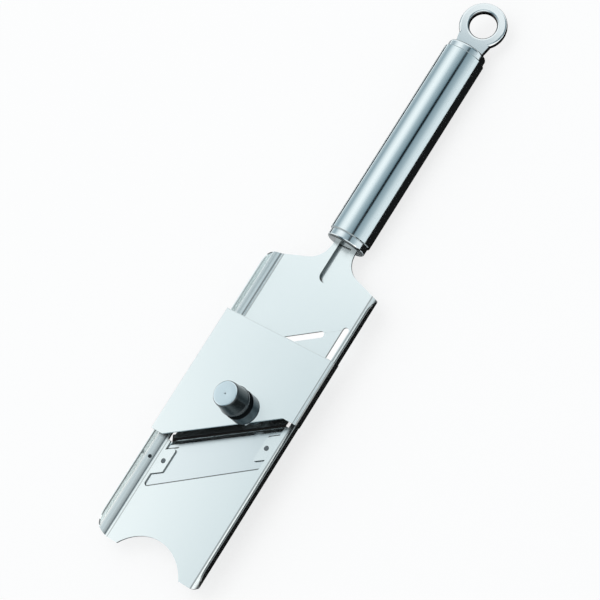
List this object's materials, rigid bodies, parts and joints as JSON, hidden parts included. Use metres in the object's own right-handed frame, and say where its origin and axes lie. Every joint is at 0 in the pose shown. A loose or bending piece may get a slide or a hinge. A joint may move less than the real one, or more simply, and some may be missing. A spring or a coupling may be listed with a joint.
{
  "type": "mandoline slicer",
  "caption": "Flat hand-held slicer with a slanting blade, a thickness tongue set by a screw knob on a bridge, and a round handle with a hanging ring.",
  "frame": {"origin": "middle of the bounding box in X and Y, at the lowest point of the handle in Z", "axes": "+Y along the slicer from its feet to the hanging ring, +Z out of the side that carries the bridge and knob, +X to the side"},
  "size_m": [0.084, 0.3822, 0.0466],
  "materials": {
    "brushed_sheet": "finely brushed stainless sheet",
    "blade_steel": "ground and polished blade steel",
    "turned_steel": "satin turned steel",
    "knob_steel": "dark satin turned steel",
    "handle_steel": "satin stainless tube, brushed round",
    "cap_steel": "polished",
    "weld_steel": "dull weld metal",
    "hardware": "plain",
    "plug_plastic": "matt"
  },
  "bodies": {
    "frame": {"deck_channel": "brushed_sheet", "blade": "blade_steel", "blade_rivets": "weld_steel", "bridge_plate": "brushed_sheet", "bridge_welds": "weld_steel", "screw_collar": "turned_steel", "collar_nut": "hardware", "front_cap": "cap_steel", "handle_tube": "handle_steel", "tang_plug": "plug_plastic", "tang_pin": "hardware", "rear_cap": "cap_steel", "hanging_ring": "cap_steel", "ring_nut": "hardware"},
    "pad": {"swivel_pad": "turned_steel"},
    "knob": {"thickness_screw": "hardware", "stop_ring": "hardware", "knob_cap": "knob_steel"},
    "tongue": {"thickness_tongue": "brushed_sheet"}
  },
  "joints": [
    {"name": "screw_lift", "type": "slide", "parent": "frame", "child": "pad", "axis": [0, 0, 1], "range_m": [0, 0.0024]},
    {"name": "knob_turn", "type": "hinge", "parent": "pad", "child": "knob", "pos_m": [0.0076, -0.08992, 0.03], "axis": [0, 0, 1], "range_deg": [0, 1080.1]},
    {"name": "tongue_tilt", "type": "hinge", "parent": "frame", "child": "tongue", "pos_m": [0, -0.04114, 0.0121], "axis": [-0.8462, -0.5329, 0], "range_deg": [0, 3.04]}
  ],
  "couplings": [
    {"joint": "knob_turn", "follows": "screw_lift", "rad_per_m": 7854},
    {"joint": "tongue_tilt", "follows": "screw_lift", "rad_per_m": 22.061}
  ]
}
